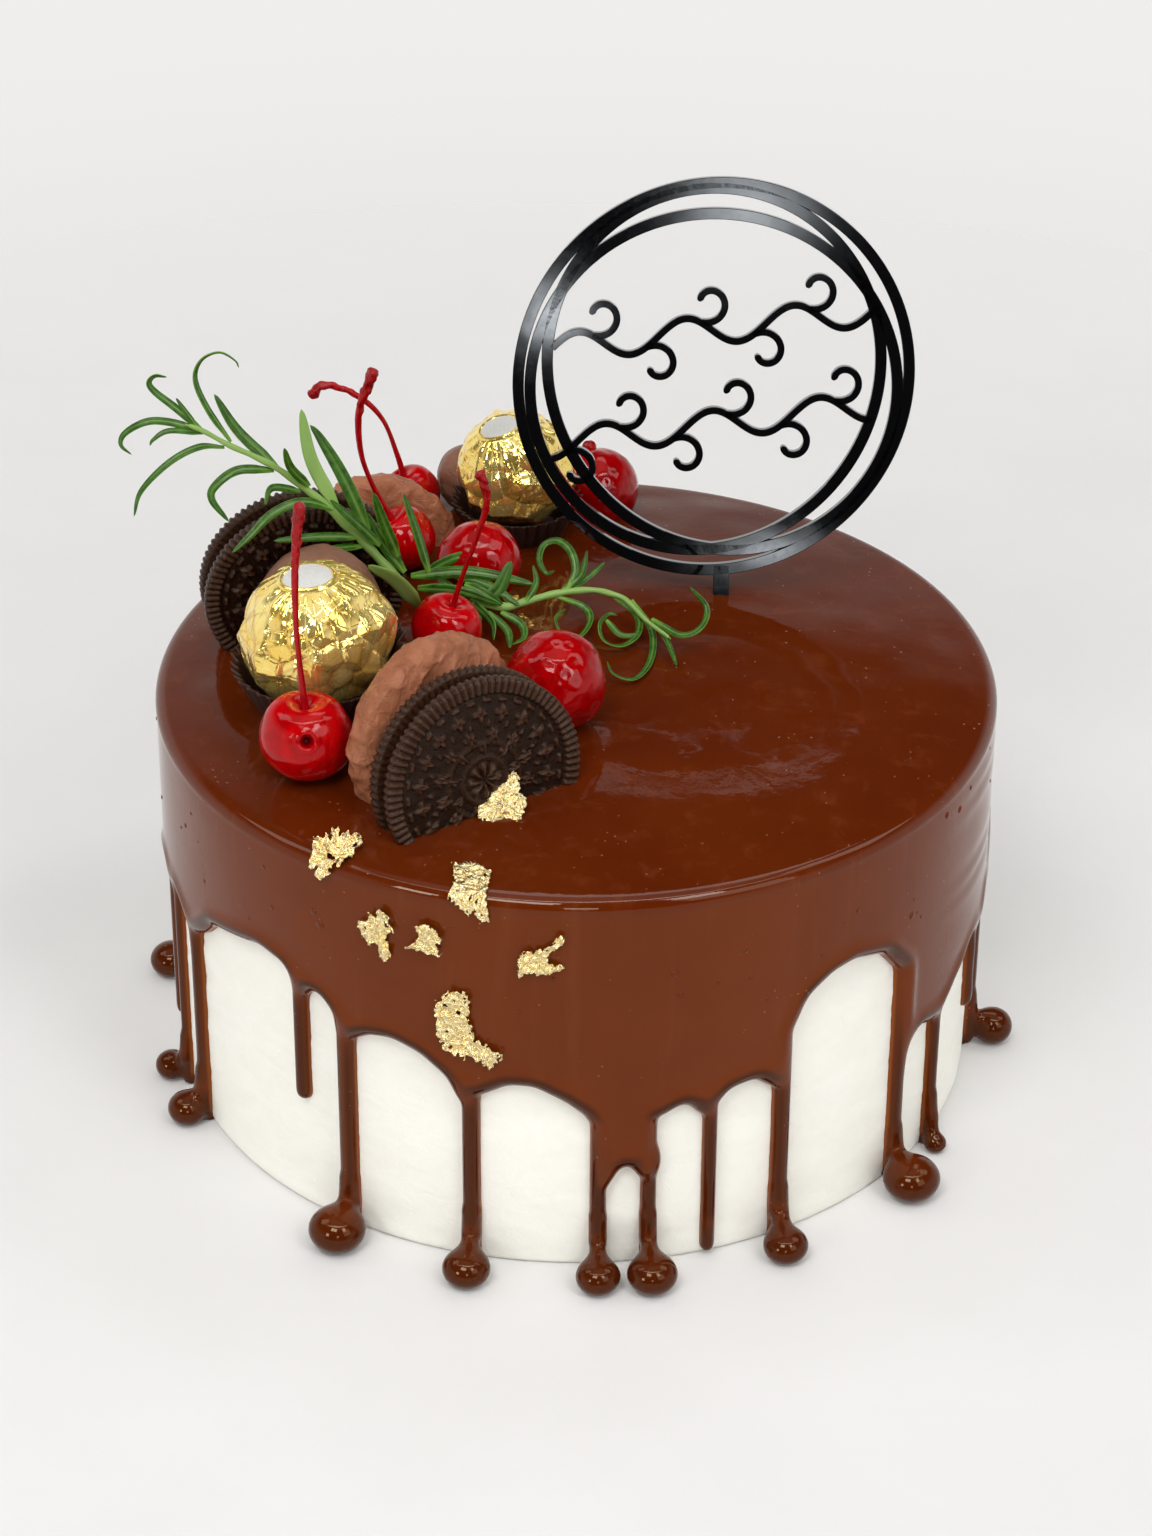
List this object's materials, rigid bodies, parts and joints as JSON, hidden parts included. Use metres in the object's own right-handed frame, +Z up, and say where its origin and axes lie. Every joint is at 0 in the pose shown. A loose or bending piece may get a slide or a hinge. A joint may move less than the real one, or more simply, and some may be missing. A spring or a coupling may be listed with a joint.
{
  "type": "chocolate drip cake",
  "caption": "Tall round cream cake with chocolate drip glaze, hoop topper, sandwich cookies, coated biscuits, foil pralines, cherries, glazed berries and rosemary.",
  "frame": {"origin": "centre of the cake's flat base", "axes": "+Z up, -Y is the front of the cake as decorated, +X to its right"},
  "size_m": [0.1979, 0.2028, 0.1875],
  "materials": {
    "cream": "smooth white cream, nearly matte",
    "glaze": "wet glossy dark chocolate glaze",
    "black_acrylic": "polished black acrylic",
    "cocoa_wafer": "matte dark cocoa wafer",
    "dark_filling": "matte dark filling",
    "milk_coating": "satin milk chocolate coating",
    "gold_foil": "crumpled bright gold foil",
    "cup_paper": "dark brown pleated paper",
    "red_fruit": "glossy red fruit skin",
    "leaf": "satin green needle leaves"
  },
  "bodies": {
    "root": {"cake_body": "cream", "chocolate_glaze": "glaze", "topper": "black_acrylic", "front_cookie_wafer_front": "cocoa_wafer", "front_cookie_filling": "dark_filling", "front_cookie_wafer_back": "cocoa_wafer", "left_cookie_wafer_front": "cocoa_wafer", "left_cookie_filling": "dark_filling", "left_cookie_wafer_back": "cocoa_wafer", "coated_biscuit_front": "milk_coating", "coated_biscuit_back": "milk_coating", "praline_front": "gold_foil", "praline_back": "gold_foil", "praline_cup_front": "cup_paper", "praline_cup_back": "cup_paper", "truffle_front": "milk_coating", "truffle_back": "milk_coating", "cherry_front": "red_fruit", "cherry_middle": "red_fruit", "cherry_left": "red_fruit", "cherry_back": "red_fruit", "berry_left": "red_fruit", "berry_right": "red_fruit", "berry_back": "red_fruit", "rosemary_sprig_left": "leaf", "rosemary_sprig_right": "leaf"}
  },
  "joints": []
}
